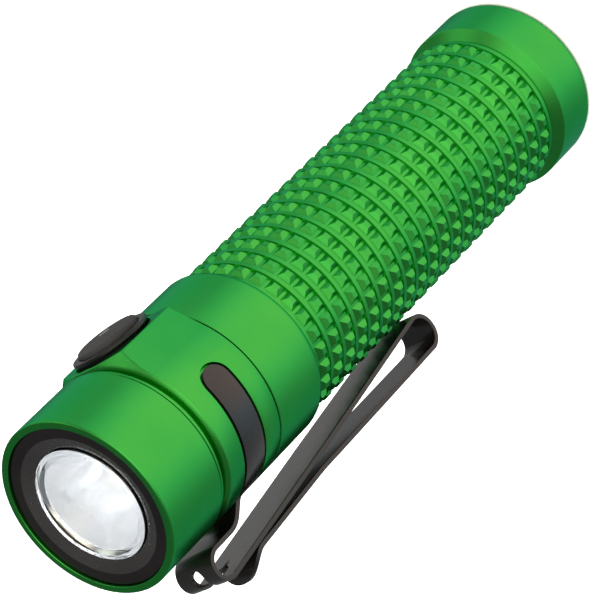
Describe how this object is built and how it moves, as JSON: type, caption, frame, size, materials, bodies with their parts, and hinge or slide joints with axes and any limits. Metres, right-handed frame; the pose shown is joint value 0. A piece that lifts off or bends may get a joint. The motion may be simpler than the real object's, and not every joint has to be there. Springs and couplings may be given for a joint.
{
  "type": "pocket flashlight",
  "caption": "Compact pocket flashlight with a knurled tube, side push button, moulded lens and a folded two-way pocket clip on a collar; the head unscrews from the tube.",
  "frame": {"origin": "centre of the flat tail face, where the light stands on a table", "axes": "+Z along the tube from the tail to the lens, -Y out of the button, +Y towards the clip"},
  "size_m": [0.0232, 0.0326, 0.0984],
  "materials": {
    "green_anodised": "satin green anodised",
    "black_ring": "gloss black anodised",
    "lens_clear": "clear moulded optic",
    "seal_rubber": "matt black rubber",
    "black_plastic": "matt black plastic",
    "emitter": "yellow phosphor under a clear dome",
    "bare_aluminium": "white masked metal-core board",
    "screw_steel": "plain steel",
    "copper_wire": "tinned copper",
    "circuit_board": "green solder mask",
    "nickel": "nickel plated",
    "brass_contact": "gold plated brass",
    "switch_ring": "satin black",
    "switch_cap": "soft dark grey silicone",
    "indicator": "translucent grey window",
    "cell_wrap": "dark blue shrink wrap",
    "cell_washer": "white fibre washer",
    "clip_steel": "dark gunmetal coated spring steel"
  },
  "bodies": {
    "tube": {"battery_tube": "green_anodised", "tail_cap": "green_anodised", "tail_oring": "seal_rubber", "tail_spring": "nickel", "tail_board": "circuit_board", "tail_magnet": "nickel", "charge_center_contact": "brass_contact", "charge_insulator": "black_plastic", "charge_outer_ring": "nickel"},
    "cell": {"cell_can": "cell_wrap", "cell_insulator": "cell_washer", "cell_positive_cap": "nickel", "cell_negative_plate": "nickel"},
    "head": {"bezel": "green_anodised", "trim_ring": "black_ring", "tir_lens": "lens_clear", "lens_seal": "seal_rubber", "optic_holder": "black_plastic", "led_emitter": "emitter", "led_board": "bare_aluminium", "led_board_screws": "screw_steel", "led_leads": "copper_wire", "head_body": "green_anodised", "driver_board": "circuit_board", "driver_retainer": "nickel", "front_contact": "brass_contact", "head_oring": "seal_rubber", "button_ring": "switch_ring", "tact_switch": "nickel", "switch_board": "circuit_board", "clip_collar": "clip_steel"},
    "button": {"button": "switch_cap", "indicator_window": "indicator", "tact_plunger": "black_plastic"},
    "clip_blade": {"clip_blade": "clip_steel"},
    "clip_outer": {"clip_outer": "clip_steel"}
  },
  "joints": [
    {"name": "thread_lift", "type": "slide", "parent": "tube", "child": "cell", "axis": [0, 0, 1], "range_m": [0, 0.004], "deforming": ["tail_spring"]},
    {"name": "head_unscrew", "type": "hinge", "parent": "cell", "child": "head", "pos_m": [0, 0, 0.08], "axis": [0, 0, 1], "range_deg": [0, 1440]},
    {"name": "button_press", "type": "slide", "parent": "head", "child": "button", "axis": [0, 1, 0], "range_m": [0, 0.0004], "stiffness_N_per_m": 2000},
    {"name": "clip_flex", "type": "hinge", "parent": "head", "child": "clip_blade", "pos_m": [0, 0.01503, 0.09161], "axis": [1, 0, 0], "range_deg": [0, 5], "stiffness_Nm_per_rad": 3},
    {"name": "clip_lip_flex", "type": "hinge", "parent": "clip_blade", "child": "clip_outer", "pos_m": [0, 0.01373, 0.04006], "axis": [-1, 0, 0], "range_deg": [0, 5], "stiffness_Nm_per_rad": 2}
  ],
  "couplings": [
    {"joint": "head_unscrew", "follows": "thread_lift", "rad_per_m": 6283.2}
  ]
}
